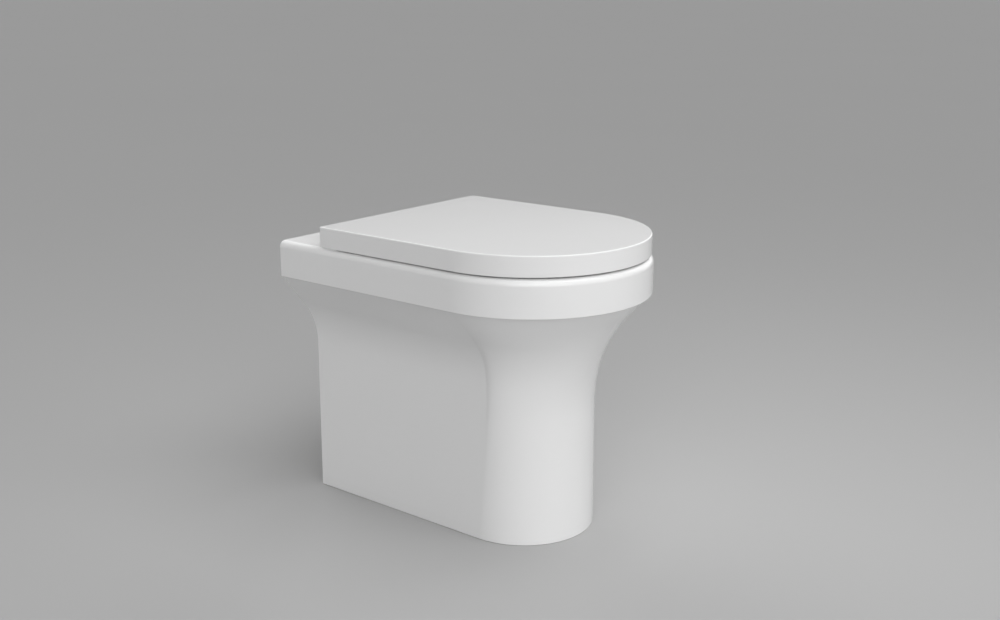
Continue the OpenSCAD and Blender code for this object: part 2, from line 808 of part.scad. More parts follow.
module seat_edge() {
    half_opening(seat_hole_r, seat_low_z, seat_top_z, seat_round, seat_low_round);
}

module seat_ring() {
    notch_in = pillar_in - side_gap;
    notch_out = pillar_out + side_gap;
    notch_y = axis_y - column_front - column_gap;
    color("white")
        difference() {
            union() {
                difference() {
                    d_slab(seat_hw, seat_low_z, seat_top_z, seat_round, seat_low_round, seat_back_y);
                    seat_opening();
                    both_sides()
                        translate([notch_in, notch_y, seat_low_z - over])
                            cube([notch_out - notch_in, seat_back_y - notch_y + over, seat_t + 2 * over]);
                }
                both_sides()
                    translate([0, axis_y, axis_z]) {
                        rod_x(barrel_r, seat_barrel_in, seat_barrel_out);
                        along_x(seat_barrel_in, seat_barrel_out)
                            translate([seat_back_y - bite - axis_y, -barrel_r])
                                square([axis_y - seat_back_y + bite, barrel_r + seat_top_z - axis_z]);
                    }
            }
            both_sides()
                translate([0, axis_y, axis_z]) barrel_hole(seat_barrel_out, seat_barrel_in);
            seat_buffer_places()
                translate([0, 0, seat_low_z - over])
                    cylinder(r = buffer_peg_r + slack, h = buffer_peg_h + over);
        }
}

module seat_damper() {
    color("darkgray")
        translate([0, axis_y, axis_z])
            on_side(-1) cartridge(seat_barrel_in + barrel_end_t, seat_barrel_out);
}

module seat_hinge_bush() {
    color("ivory")
        translate([0, axis_y, axis_z])
            cartridge(seat_barrel_in + barrel_end_t, seat_barrel_out);
}

seat_buffer_ring_r = (opening_hw + opening_round + pan_w / 2 - rim_round) / 2;
lid_buffer_ring_r = (seat_hole_r + seat_hw) / 2;

// The four places of the buffers on a ring of radius r
module buffer_places(r) {
    both_sides() {
        translate([r * cos(buffer_angle), arc_y - r * sin(buffer_angle), 0]) children();
        translate([r, arc_y + rear_buffer_y, 0]) children();
    }
}

module seat_buffer_places() {
    buffer_places(seat_buffer_ring_r) children();
}

module seat_buffers() {
    color("lightgray")
        seat_buffer_places() {
            translate([0, 0, pan_h + rest_gap])
                cylinder(r = seat_buffer_r, h = seat_gap - rest_gap);
            translate([0, 0, seat_low_z - over])
                cylinder(r = buffer_peg_r, h = buffer_peg_h + over - slack);
        }
}

// ---- lid ----

// Rear lip of the lid: where it starts behind the axis, and its lower edge above the axis
lip_in = barrel_r + side_gap;
lip_low = 1;
lid_low_round = 1;

module lid() {
    inner_hw = lid_hw - lid_wall;
    lid_heel_z = lid_low_z - lid_fall;
    color("white") {
        difference() {
            d_slab(lid_hw, lid_heel_z, lid_top_z, lid_round, lid_low_round, lid_back_y);
            d_slab(inner_hw, lid_heel_z - over, lid_under_z, 0, 0, lid_back_y + over);
            along_x(-pan_w, pan_w) {
                polygon([
                    [arc_y - lid_hw - over, lid_low_z],
                    [lid_back_y + over, lid_heel_z],
                    [lid_back_y + over, lid_heel_z - over],
                    [arc_y - lid_hw - over, lid_heel_z - over]
                ]);
                translate([axis_y, axis_z])
                    mirror([0, 1])
                        difference() {
                            square([axis_inset + over, axis_z - lid_heel_z + over]);
                            circle(lid_heel_r);
                        }
            }
        }
        translate([0, axis_y, axis_z]) {
            difference() {
                along_x(-inner_hw - over, inner_hw + over)
                    translate([lip_in, lip_low])
                        square([axis_inset - lip_in, lid_under_z - axis_z - lip_low + over]);
                both_sides()
                    along_x(pillar_in - side_gap, pillar_out + side_gap)
                        translate([lip_in - over, lip_low - over])
                            square([axis_inset, lid_under_z - axis_z - lip_low + over]);
            }
            both_sides()
                difference() {
                    union() {
                        rod_x(barrel_r, lid_barrel_in, lid_barrel_out);
                        along_x(lid_barrel_in, lid_barrel_out)
                            translate([-barrel_r, 0])
                                square([2 * barrel_r, lid_under_z - axis_z + over]);
                    }
                    barrel_hole(lid_barrel_in, lid_barrel_out);
                }
        }
    }
}

module lid_damper() {
    color("darkgray")
        translate([0, axis_y, axis_z])
            cartridge(lid_barrel_in, lid_barrel_out - barrel_end_t);
}

module lid_hinge_bush() {
    color("ivory")
        translate([0, axis_y, axis_z])
            on_side(-1) cartridge(lid_barrel_in, lid_barrel_out - barrel_end_t);
}

module lid_buffers() {
    color("lightgray")
        buffer_places(lid_buffer_ring_r)
            translate([0, 0, seat_top_z + rest_gap])
                cylinder(r = lid_buffer_r, h = lid_under_z - seat_top_z - rest_gap);
}

pan_rim();
pan_pedestal();
pan_bowl();
pan_flush_inlet();
pan_trapway();
hinge_base(-1);  // hinge_base_left
hinge_base(1);  // hinge_base_right
hinge_gaskets();
hinge_screws();
expansion_sleeves();
cone_nuts();
hinge_pillar(-1);  // hinge_pillar_left
hinge_pillar(1);  // hinge_pillar_right
hinge_shaft(-1);  // hinge_shaft_left
hinge_shaft(1);  // hinge_shaft_right
release_button(-1);  // release_button_left
release_button(1);  // release_button_right
seat_ring();
seat_damper();
seat_hinge_bush();
seat_buffers();
lid();
lid_damper();
lid_hinge_bush();
lid_buffers();
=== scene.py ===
"""Back to wall toilet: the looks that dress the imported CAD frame.

Sizes are in millimetres in the frame's axes (+Z up, front towards -Y, wall at +Y) and are turned
into metres when a mesh is made. The china, the seat and the lid are rebuilt with finer curves, and
the small hardware keeps its CAD form with broken edges. In the names of the sizes, HW is a half
width, R a radius, T a thickness, L a length and D a distance from the wall.
"""

import math

import bmesh
import bpy
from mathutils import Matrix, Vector


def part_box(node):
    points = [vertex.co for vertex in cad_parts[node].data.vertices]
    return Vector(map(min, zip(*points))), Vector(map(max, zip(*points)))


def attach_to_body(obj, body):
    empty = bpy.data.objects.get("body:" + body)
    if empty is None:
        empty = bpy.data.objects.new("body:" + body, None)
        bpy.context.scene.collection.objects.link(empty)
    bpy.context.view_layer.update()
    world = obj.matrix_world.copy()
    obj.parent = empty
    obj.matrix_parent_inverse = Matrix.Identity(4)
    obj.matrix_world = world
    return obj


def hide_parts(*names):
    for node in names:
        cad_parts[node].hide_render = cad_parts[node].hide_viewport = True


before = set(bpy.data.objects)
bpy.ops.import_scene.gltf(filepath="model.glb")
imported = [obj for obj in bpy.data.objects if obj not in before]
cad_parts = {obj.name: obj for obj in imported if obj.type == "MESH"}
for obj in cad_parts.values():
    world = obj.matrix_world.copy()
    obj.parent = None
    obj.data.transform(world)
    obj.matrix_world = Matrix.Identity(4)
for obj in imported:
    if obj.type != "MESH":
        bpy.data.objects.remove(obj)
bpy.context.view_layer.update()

MM = 0.001

# ---- sizes: the outer ones from the frame, the rest as in the CAD source ----


def node_corners(name):
    """A CAD node's lowest and highest corners at rest, in mm."""
    return [[round(value / MM, 2) for value in corner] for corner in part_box(name)]


RIM_LOW, RIM_HIGH = node_corners("pan_rim")
LID_HIGH = node_corners("lid")[1]

# Pan: rim, band and deck
PAN_HW = RIM_HIGH[0]
WALL_Y = RIM_HIGH[1]
PAN_L = 2 * WALL_Y
PAN_TOP = RIM_HIGH[2]
BAND_Z = RIM_LOW[2]             # lower edge of the band
ARC_Y = PAN_HW - WALL_Y         # centre of every round front
CHINA_T = 10.0
PLATE_UNDER = PAN_TOP - 12.0    # underside of the rim plate
RIM_ROUND = 10.5
RIM_CORNER = 4.5
RIM_BACK_ROUND = 2.0
BAND_ROUND = 2.0
OPENING_HW = PAN_HW - 48.0
OPENING_BACK = WALL_Y - 160.0
OPENING_CORNER = 70.0
OPENING_ROUND = 6.0
OPENING_LOW_ROUND = 2.0
OPENING_LOW_Z = PLATE_UNDER - 1.0   # where the opening's lower rounding starts

# Pan: neck and pedestal
NECK_INSET = 5.0
NECK_HW = PAN_HW - NECK_INSET
NECK_FRONT = PAN_L - NECK_INSET
NECK_STRAIGHT = PAN_L - PAN_HW - 3.0
FOOT_HW = 108.5
FOOT_L = 443.0
FOOT_STRAIGHT = 333.0           # from the wall to where the foot's round front starts
FOOT_DRAFT = 2.0
FOOT_ROUND = 1.5
LOW_LEVELS = (20.0, 60.0, 120.0)    # heights of the rings below the flare
SIDE_FLARE_Z = 244.0            # height at which the sides start to flare
SIDE_FLARE_R = 110.0
FRONT_FLARE_Z = 191.0
FRONT_FLARE_EASE = 7.5          # how much tighter the front bends than one arc up to the neck
FRONT_RUN = 15.0                # how much longer the flat sides are there than at the foot
FRONT_LEAD = 12.0               # how far ahead of their ends the flaring front is widest
LEAD_CURVE = 3.5                # how late that lead comes, towards the neck
FRONT_TURN = 0.18               # how much tighter than an ellipse the front turns beside them
FIXING_X = 78.0
FIXING_D = 62.0
FIXING_R = 5.5
LUG_W = 38.0
LUG_L = 44.0
LUG_H = 20.0

# Pan: bowl, flush horn and trap
BOWL_T = 9.0
BOWL_GAP = 3.5                  # least gap to the pedestal's inside
BOWL_MID_D = 318.5
BOWL_TOP_HD = 164.5
BOWL_TOP_HW = OPENING_HW + OPENING_ROUND
BOWL_TOP_SQUARENESS = 2.7
LIP_H = 25.0                    # height of the straight lip under the rim plate
LIP_DRAW = 2.5                  # how much narrower the bowl is at the lip's lower edge
TRAP_R = 34.0
TRAP_HEADING = 15.0             # of its middle line at the bowl, in degrees above level
TRAP_LEGS = ((20.0,), (45.0, 60.0), (67.0,), (-110.0, 50.0), (50.0, 50.0))  # (length) or (turn, R)
TRAP_JOIN = (3.0, 2.0)          # how far its tube runs into the bowl and the spigot
TRAP_BORE_JOIN = (1.0, 18.0)
PORT_SETBACK = 12.0             # of the outlet and the flush inlet from the wall
OUTLET_Z = 180.0
OUTLET_R = 51.0
OUTLET_L = 58.0
INLET_Z = 330.0
INLET_R = 27.5
INLET_L = 60.0
FLUSHWAY_R = 20.0
HORN_R = INLET_R + 7.5

# Hood over the flush inlet, in the bowl's rear wall
HOOD_HW = 43.0
HOOD_HH = 26.0                  # its half height
HOOD_SQUARENESS = 3.4
HOOD_T = 6.0
HOOD_PROUD = 19.0               # how far it stands out from the wall
HOOD_ROOT = 5.0                 # how far it reaches into the wall
HOOD_NOSE = ((0.0, 9.0), (0.6, 5.4), (2.2, 2.6), (4.8, 0.9), (8.0, 0.0))    # (depth, inset)
HOOD_SLOT_HW = 49.0             # of the way out to both sides
HOOD_SLOT_HH = 15.0
HOOD_SLOT_BITE = 1.0            # how far that goes into the wall
HOOD_INLET_R = 17.0
HOOD_INLET_L = 12.0

# Hinges
HINGE_X = 78.0
AXIS_Y = 164.5
AXIS_Z = 443.0
DECK_HOLE_R = 7.25
DECK_HOLE_Y = AXIS_Y - 24.0
PILLAR_X = (69.0, 87.0)
PILLAR_GAP = 1.0                # beside a pillar, to the seat and the lid
BARREL_R = 7.0
BARREL_END = 1.8                # wall at the closed end of a barrel
CARTRIDGE_R = 5.22
SEAT_BARREL_X = (44.0, 68.0)
LID_BARREL_X = (88.0, 112.0)

# Lid
LID_HW = LID_HIGH[0]
LID_BACK = LID_HIGH[1]
LID_Z = (PAN_TOP + 2.2, LID_HIGH[2])
LID_FALL = 1.2                  # how much lower its lower edge is at the back
LID_UNDER = LID_Z[1] - 3.5
LID_WALL = 4.0
LID_ROUND = 2.0
LID_LOW_ROUND = 1.0
LID_CORNER = 3.0
LID_HEEL_R = 20.0               # about the hinge axis
LIP_Y = AXIS_Y + BARREL_R + 1.0     # inside of its rear lip
LIP_Z = AXIS_Z + 1.0                # lower edge of its rear lip

# Seat
SEAT_HW = LID_HW - LID_WALL - 2.5
SEAT_BACK = AXIS_Y - BARREL_R - 1.5
SEAT_Z = (425.5, 444.0)
SEAT_ROUND = 6.0
SEAT_LOW_ROUND = 3.0
SEAT_CORNER = 9.0
SEAT_DISH = 2.2                 # how far its top dips at the opening
SEAT_CENTRE_Y = -30.0           # a point inside the opening, from which the ring is swept
SEAT_HOLE_R = 112.0
SEAT_HOLE_BACK = ARC_Y + 43.0   # centre of the opening's round back
SEAT_NOTCH_Y = 126.5            # front of the notches round the hinge pillars
KNUCKLE_L = 8.0                 # how far the hinge knuckles reach into the ring
PEG_HOLE_R = 4.1                # holes for the buffers' pegs
PEG_HOLE_L = 6.0
BUFFER_RING_R = (OPENING_HW + OPENING_ROUND + PAN_HW - RIM_ROUND) / 2
BUFFER_ANGLE = 55.0             # of the front buffers, from the side
REAR_BUFFER_Y = ARC_Y + 142.0

PAST = 2.0                      # how far a cutter runs past the face that it opens
BITE = 2.0                      # how far joined solids reach into each other
SIDES = (-1, 1)
GLAZED, RAW = 0, 1              # material indices of the china

# ---- mesh helpers ----


def arc(cx, cy, r, start, end, steps):
    """Points on an arc, angles in degrees, both ends included."""
    turn = [math.radians(start + (end - start) * i / steps) for i in range(steps + 1)]
    return [(cx + r * math.cos(a), cy + r * math.sin(a)) for a in turn]


def at_height(outline, z):
    return [(x, y, z) for x, y in outline]


def mirrored(x, side):
    """A range of x on the left (side -1) or the right (side 1), lower end first."""
    return tuple(sorted((side * x[0], side * x[1])))


def squared(value, squareness):
    """A sine or cosine for a ring that is an ellipse at a squareness of 2 and boxier above."""
    return math.copysign(abs(value) ** (2 / squareness), value)


def rounded_edge(r, steps):
    """(inset, rise) pairs round a lower edge, from the flat below up to the wall."""
    if r == 0:
        return [(0.0, 0.0)]
    turn = [math.radians(90 * i / steps) for i in range(steps + 1)]
    return [(r * (1 - math.sin(a)), r * (1 - math.cos(a))) for a in turn]


def fillet_profile(z0, z1, low_r, top_r, steps=8):
    """(inset, height) pairs up a wall with a rounded lower and upper edge."""
    low = [(inset, z0 + rise) for inset, rise in rounded_edge(low_r, steps)]
    top = [(inset, z1 - rise) for inset, rise in reversed(rounded_edge(top_r, steps))]
    return low + top


def tidy_mesh(obj, weld=1e-7):
    """Joins vertices closer than weld, in metres, and turns every face outward."""
    work = bmesh.new()
    work.from_mesh(obj.data)
    bmesh.ops.remove_doubles(work, verts=work.verts, dist=weld)
    bmesh.ops.recalc_face_normals(work, faces=work.faces)
    work.to_mesh(obj.data)
    work.free()


def mesh_object(name, points, faces, index=GLAZED):
    """A mesh with the china's two materials, all faces in the one at index."""
    mesh = bpy.data.meshes.new(name)
    mesh.from_pydata([(x * MM, y * MM, z * MM) for x, y, z in points], [], faces)
    obj = bpy.data.objects.new(name, mesh)
    bpy.context.scene.collection.objects.link(obj)
    tidy_mesh(obj)
    for material in CHINA_MATERIALS:
        mesh.materials.append(material)
    for face in mesh.polygons:
        face.material_index = index
    return obj


def band_faces(rings, n, closed=False):
    """Four-sided faces between rings of n points, and back to the first ring if closed."""
    return [
        (i * n + j, i * n + (j + 1) % n, k * n + (j + 1) % n, k * n + j)
        for i, k in zip(range(rings), [*range(1, rings), 0] if closed else range(1, rings))
        for j in range(n)
    ]


def loft(name, rings, index=GLAZED):
    """A closed solid through rings of points, with a flat cap at each end."""
    n = len(rings[0])
    points = [point for ring in rings for point in ring]
    caps = [tuple(range(n)), tuple(range(len(points) - n, len(points)))]
    return mesh_object(name, points, band_faces(len(rings), n) + caps, index)


def box_solid(name, x, y, z, index=GLAZED):
    outline = [(x[0], y[0]), (x[1], y[0]), (x[1], y[1]), (x[0], y[1])]
    return loft(name, [at_height(outline, z[0]), at_height(outline, z[1])], index)


def block_along_x(name, x, profile):
    """A block over the range x with a closed (y, z) profile."""
    return loft(name, [[(at, y, z) for y, z in profile] for at in x])


def rod(name, axis, r, start, end, centre, index=GLAZED, steps=64):
    """A cylinder along axis x, y or z; centre gives the other two coordinates in order."""
    circle = arc(centre[0], centre[1], r, 0, 360 - 360 / steps, steps - 1)
    place = {
        "x": lambda u, v, w: (w, u, v),
        "y": lambda u, v, w: (u, w, v),
        "z": lambda u, v, w: (u, v, w),
    }[axis]
    return loft(name, [[place(u, v, w) for u, v in circle] for w in (start, end)], index)


def combine(obj, others, operation):
    """Exact boolean of obj with each of the others, which are used up."""
    for other in others:
        step = obj.modifiers.new("combine", "BOOLEAN")
        step.operation = operation
        step.solver = "EXACT"
        step.object = other
        result = bpy.data.meshes.new_from_object(
            obj.evaluated_get(bpy.context.evaluated_depsgraph_get())
        )
        obj.modifiers.clear()
        obj.data = result
        bpy.data.objects.remove(other)
    return obj


def add(obj, *others):
    return combine(obj, others, "UNION")


def cut(obj, *others):
    return combine(obj, others, "DIFFERENCE")


def even_shading(obj, keep_sharp):
    """Weighted normals, which keep large flat faces flat beside their rounded edges."""
    obj.data.shade_smooth()
    level = obj.modifiers.new("even_shading", "WEIGHTED_NORMAL")
    level.keep_sharp = keep_sharp
    level.weight = 60


def smooth_finish(obj, angle=32.0):
    """Smooth shading that breaks at edges sharper than the angle, in degrees."""
    tidy_mesh(obj)
    even_shading(obj, keep_sharp=True)
    obj.data.set_sharp_from_angle(angle=math.radians(angle))
    return obj


def attach(obj, body, slot, *nodes):
    """Makes a piece ride on a body and stand for the CAD nodes."""
    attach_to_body(obj, body)
    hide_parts(*nodes)
    return obj


def paint(obj, material):
    obj.data.materials.clear()
    obj.data.materials.append(material)
    return obj


# ---- materials ----


def node(tree, kind, **values):
    """A new shader node; values name its input sockets or its settings."""
    made = tree.nodes.new(kind)
    for key, value in values.items():
        if key in made.inputs:
            made.inputs[key].default_value = value
        else:
            setattr(made, key, value)
    return made


def noise(tree, coords, scale, detail=3.0):
    made = node(tree, "ShaderNodeTexNoise", Scale=scale, Detail=detail)
    tree.links.new(coords, made.inputs["Vector"])
    return made.outputs["Fac"]


def spread(tree, source, low, high):
    """Maps the span in which a noise value mostly stays onto a range of numbers."""
    made = node(tree, "ShaderNodeMapRange")
    made.inputs["From Min"].default_value = 0.3
    made.inputs["From Max"].default_value = 0.7
    made.inputs["To Min"].default_value = low
    made.inputs["To Max"].default_value = high
    tree.links.new(source, made.inputs["Value"])
    return made.outputs["Result"]


def tint(tree, factor, a, b):
    """A mix of two colours."""
    made = node(tree, "ShaderNodeMix", data_type="RGBA")
    made.inputs["A"].default_value = (*a, 1)
    made.inputs["B"].default_value = (*b, 1)
    tree.links.new(factor, made.inputs["Factor"])
    return made.outputs["Result"]


def surface(name, colours, rough, cloud, waves=(), **shader):
    """A procedural material.

    colours: the two colours it drifts between; rough: its lowest and highest roughness;
    cloud: noise scale of the drift; waves: (scale, bump height in m) pairs, coarse to fine;
    shader: constant values of the Principled BSDF, with _ for a space.
    """
    rough_cloud = cloud * 3.7
    made = bpy.data.materials.new(name)
    made.use_nodes = True
    tree = made.node_tree
    bsdf = tree.nodes["Principled BSDF"]
    coords = tree.nodes.new("ShaderNodeTexCoord").outputs["Object"]
    colour = tint(tree, noise(tree, coords, cloud), *colours)
    tree.links.new(colour, bsdf.inputs["Base Color"])
    roughness = spread(tree, noise(tree, coords, rough_cloud), *rough)
    tree.links.new(roughness, bsdf.inputs["Roughness"])
    normal = None
    for scale, height in waves:
        bump = node(tree, "ShaderNodeBump", Strength=1.0, Distance=height)
        tree.links.new(noise(tree, coords, scale, 2.0), bump.inputs["Height"])
        if normal:
            tree.links.new(normal, bump.inputs["Normal"])
        normal = bump.outputs["Normal"]
    if normal:
        tree.links.new(normal, bsdf.inputs["Normal"])
    for key, value in shader.items():
        bsdf.inputs[key.replace("_", " ")].default_value = value
    return made


WHITES = ((0.80, 0.80, 0.80), (0.82, 0.82, 0.82))

glaze = surface(
    "glaze_white",
    colours=WHITES,
    rough=(0.14, 0.20),
    cloud=5.0,
    waves=((26.0, 0.00012), (140.0, 0.000012)),
    IOR=1.47,
    Coat_Weight=0.05,
    Coat_Roughness=0.08,
)
biscuit = surface(
    "biscuit_unglazed",
    colours=((0.70, 0.68, 0.64), (0.78, 0.765, 0.73)),
    rough=(0.62, 0.85),
    cloud=9.0,
    waves=((60.0, 0.0002), (900.0, 0.00006)),
    IOR=1.5,
)
seat_plastic = surface(
    "seat_plastic_white",
    colours=WHITES,
    rough=(0.105, 0.12),
    cloud=7.0,
    waves=((420.0, 0.000003),),
    IOR=1.49,
)
CHINA_MATERIALS = (glaze, biscuit)  # in the order of GLAZED and RAW

# The materials of the small hardware, by slot
HARDWARE = {
    "chrome": surface(
        "chrome_plate",
        colours=((0.78, 0.79, 0.80), (0.86, 0.87, 0.88)),
        rough=(0.06, 0.16),
        cloud=60.0,
        waves=((350.0, 0.000006),),
        Metallic=1.0,
    ),
    "steel": surface(
        "steel_zinc",
        colours=((0.50, 0.51, 0.52), (0.64, 0.65, 0.65)),
        rough=(0.25, 0.42),
        cloud=120.0,
        waves=((800.0, 0.00001),),
        Metallic=1.0,
    ),
    "brass": surface(
        "brass_nut",
        colours=((0.60, 0.43, 0.18), (0.72, 0.54, 0.26)),
        rough=(0.22, 0.40),
        cloud=110.0,
        waves=((700.0, 0.00001),),
        Metallic=1.0,
    ),
    "fixing_rubber": surface(
        "fixing_rubber",
        colours=((0.035, 0.035, 0.036), (0.055, 0.055, 0.055)),
        rough=(0.55, 0.75),
        cloud=70.0,
        waves=((900.0, 0.00003),),
    ),
    "buffer_rubber": surface(
        "buffer_rubber",
        colours=((0.62, 0.63, 0.63), (0.70, 0.70, 0.70)),
        rough=(0.42, 0.58),
        cloud=60.0,
        waves=((700.0, 0.00002),),
        Subsurface_Weight=0.05,
    ),
    "damper_plastic": surface(
        "damper_plastic",
        colours=((0.30, 0.31, 0.32), (0.38, 0.39, 0.40)),
        rough=(0.34, 0.48),
        cloud=90.0,
        waves=((800.0, 0.00001),),
    ),
    "bush_plastic": surface(
        "bush_plastic",
        colours=((0.66, 0.64, 0.56), (0.73, 0.71, 0.63)),
        rough=(0.36, 0.50),
        cloud=90.0,
        waves=((800.0, 0.00001),),
    ),
    "button_plastic": surface(
        "button_plastic",
        colours=((0.60, 0.61, 0.62), (0.67, 0.68, 0.69)),
        rough=(0.28, 0.40),
        cloud=80.0,
        waves=((650.0, 0.00001),),
    ),
}

# ---- outlines ----


def d_outline(hw, back, steps=96):
    """Straight sides and a round front, sharp corners at the back."""
    return [(hw, back)] + arc(0, ARC_Y, hw, 0, -180, steps) + [(-hw, back)]


def round_outline(hw, back, corner, steps=112, corner_steps=8):
    """The same with round corners at the back."""
    corner_x, corner_y = hw - corner, back - corner
    return (
        arc(0, ARC_Y, hw, 0, -180, steps)
        + arc(-corner_x, corner_y, corner, 180, 90, corner_steps)
        + arc(corner_x, corner_y, corner, 90, 0, corner_steps)
    )


# ---- pan: rim, band and deck ----


def rim_ring(inset, z):
    """A ring of the rim's outside; its back edge, at the wall, has a smaller rounding."""
    rise = max(0.0, z - (PAN_TOP - RIM_BACK_ROUND))
    back_inset = RIM_BACK_ROUND - math.sqrt(RIM_BACK_ROUND**2 - rise**2)
    return at_height(round_outline(PAN_HW - inset, WALL_Y - back_inset, RIM_CORNER), z)


def opening_rings():
    """Rings of the cutter for the bowl's opening, which flares at its rounded edges."""
    rows = fillet_profile(OPENING_LOW_Z, PAN_TOP, OPENING_LOW_ROUND, OPENING_ROUND)
    rows.insert(0, (rows[0][0], OPENING_LOW_Z - PAST))
    rows.append((rows[-1][0], PAN_TOP + PAST))
    return [
        at_height(
            round_outline(OPENING_HW + grow, OPENING_BACK + grow, OPENING_CORNER + grow, 64, 21), z
        )
        for grow, z in rows
    ]


def pan_rim():
    profile = fillet_profile(BAND_Z, PAN_TOP, BAND_ROUND, RIM_ROUND, 10)
    china = loft("pan_rim_china", [rim_ring(inset, z) for inset, z in profile])
    narrow, wide = NECK_HW - CHINA_T, PAN_HW - CHINA_T
    back, step_z = WALL_Y - CHINA_T, BAND_Z + CHINA_T
    rows = ((narrow, BAND_Z - PAST), (narrow, step_z), (wide, step_z), (wide, PLATE_UNDER))
    cavity = loft("cavity", [at_height(d_outline(hw, back), z) for hw, z in rows], RAW)
    holes = [
        rod("hole", "z", DECK_HOLE_R, PLATE_UNDER - PAST, PAN_TOP + PAST,
            (side * HINGE_X, DECK_HOLE_Y), RAW)
        for side in SIDES
    ]
    cut(china, cavity, loft("opening", opening_rings()), *holes)
    return smooth_finish(china)


# ---- pan: pedestal ----

SIDE_OVERHANG = NECK_HW - (FOOT_HW - FOOT_DRAFT)
FRONT_OVERHANG = NECK_FRONT - (FOOT_L - FOOT_DRAFT)
FRONT_FULL_R = ((BAND_Z - FRONT_FLARE_Z) ** 2 + FRONT_OVERHANG**2) / (2 * FRONT_OVERHANG)
FRONT_FLARE_R = FRONT_FULL_R - FRONT_FLARE_EASE


def flare(z, start_z, overhang, r):
    """How far a wall has flared out at height z on its way to the band: an arc, then straight."""
    if z <= start_z:
        return 0.0
    climb = BAND_Z - start_z
    span = math.hypot(climb, r - overhang)
    lean = math.asin(min(1.0, r / span)) - math.atan2(r - overhang, climb)
    arc_h, h = r * math.sin(lean), z - start_z
    if h <= arc_h:
        return r - math.sqrt(r * r - h * h)
    return r * (1 - math.cos(lean)) + (h - arc_h) * math.tan(lean)


def front_out(z):
    return flare(z, FRONT_FLARE_Z, FRONT_OVERHANG, FRONT_FLARE_R)


def neck_hw(z):
    side_out = flare(z, SIDE_FLARE_Z, SIDE_OVERHANG, SIDE_FLARE_R)
    return FOOT_HW - FOOT_DRAFT * min(1.0, z / SIDE_FLARE_Z) + side_out


def neck_front(z):
    return FOOT_L - FOOT_DRAFT * min(1.0, z / FRONT_FLARE_Z) + front_out(z)


def waist(z):
    """1 where the front starts to flare, down to 0 at the foot and at the neck."""
    return min(1.0, z / FRONT_FLARE_Z) - front_out(z) / FRONT_OVERHANG


def neck_arc(z):
    """Distance from the wall to where the round front starts at height z."""
    still = (NECK_STRAIGHT - FOOT_STRAIGHT) * front_out(z) / FRONT_OVERHANG
    return FOOT_STRAIGHT + FRONT_RUN * waist(z) + still


def neck_lead(z):
    """How far ahead of the flat sides' ends the front is widest at height z."""
    share = (z / BAND_Z) ** LEAD_CURVE
    return 4 * FRONT_LEAD * share * (1 - share)


def pedestal_outline(z, shrink, back=WALL_Y, steps=112):
    """The pedestal's outline at height z, moved inward by shrink."""
    hw, lead = neck_hw(z) - shrink, neck_lead(z)
    centre = neck_arc(z) + lead
    reach = neck_front(z) - shrink - centre
    turn = 1 + FRONT_TURN * waist(z)
    start = -math.asin((lead / reach) ** (1 / turn))
    outline = [(hw, back)]
    for i in range(steps + 1):
        a = start + (math.pi - 2 * start) * i / steps
        x = hw * math.cos(a) / math.cos(start)
        y = reach * math.copysign(abs(math.sin(a)) ** turn, math.sin(a))
        outline.append((x, WALL_Y - centre - y))
    outline.append((-hw, back))
    return outline


def pedestal_levels(step):
    """Heights of the rings: few on the straight part, about step apart on the flare."""
    climb = BAND_Z - FRONT_FLARE_Z
    count = math.ceil(climb / step)
    return [*LOW_LEVELS, *(FRONT_FLARE_Z + climb * i / count for i in range(count + 1))]


def unglaze_underside(china):
    for face in china.data.polygons:
        if face.center.z < 0.1 * MM:
            face.material_index = RAW


def add_foot_lugs(china):
    """The two lugs inside the foot that the floor screws go through."""
    inside_x = FOOT_HW - CHINA_T
    y = (WALL_Y - FIXING_D - LUG_L / 2, WALL_Y - FIXING_D + LUG_L / 2)
    for side in SIDES:
        x = mirrored((inside_x - LUG_W, inside_x + BITE), side)
        add(china, box_solid("lug", x, y, (0.0, LUG_H), RAW))
        centre = (side * FIXING_X, WALL_Y - FIXING_D)
        cut(china, rod("hole", "z", FIXING_R, -PAST, LUG_H + PAST, centre, RAW, 48))


def pan_pedestal():
    rows = rounded_edge(FOOT_ROUND, 4) + [(0.0, z) for z in pedestal_levels(4.5)]
    china = loft(
        "pan_pedestal_china", [at_height(pedestal_outline(z, inset), z) for inset, z in rows]
    )
    unglaze_underside(china)
    levels = [0.0, *pedestal_levels(9.0), BAND_Z]
    heights = [-PAST, *levels[1:-1], BAND_Z + PAST]
    hollow = [
        at_height(pedestal_outline(level, CHINA_T, WALL_Y + PAST), z)
        for level, z in zip(levels, heights)
    ]
    cut(china, loft("hollow", hollow, RAW))
    add_foot_lugs(china)
    return smooth_finish(china)


# ---- pan: bowl, flush horn and trap ----

# Shares of the way from the trap's mouth to the pedestal's inside, but for tilt and squareness:
# height, tilt, half width, half length, middle, squareness
BOWL_SHARES = (
    (0.807, 0, 0.837, 0.900, 1.025, 2.5),
    (0.694, 0, 0.896, 0.955, 1.076, 2.35),
    (0.583, 5, 0.995, 0.902, 1.094, 2.2),
    (0.470, 12, 0.860, 0.761, 1.069, 2.1),
    (0.364, 20, 0.637, 0.551, 1.043, 2.0),
    (0.267, 32, 0.416, 0.326, 0.967, 2.0),
    (0.171, 48, 0.236, 0.165, 0.840, 2.0),
    (0.080, 68, 0.098, 0.062, 0.636, 2.0),
    (0.023, 90, 0.029, 0.016, 0.331, 2.0),
    (0.000, 90 + TRAP_HEADING, 0.000, 0.000, 0.000, 2.0),
)


def ahead(station, length):
    """The station (y, z, heading in degrees) further on in a straight line."""
    y, z, heading = station
    a = math.radians(heading)
    return (y + length * math.cos(a), z + length * math.sin(a), heading)


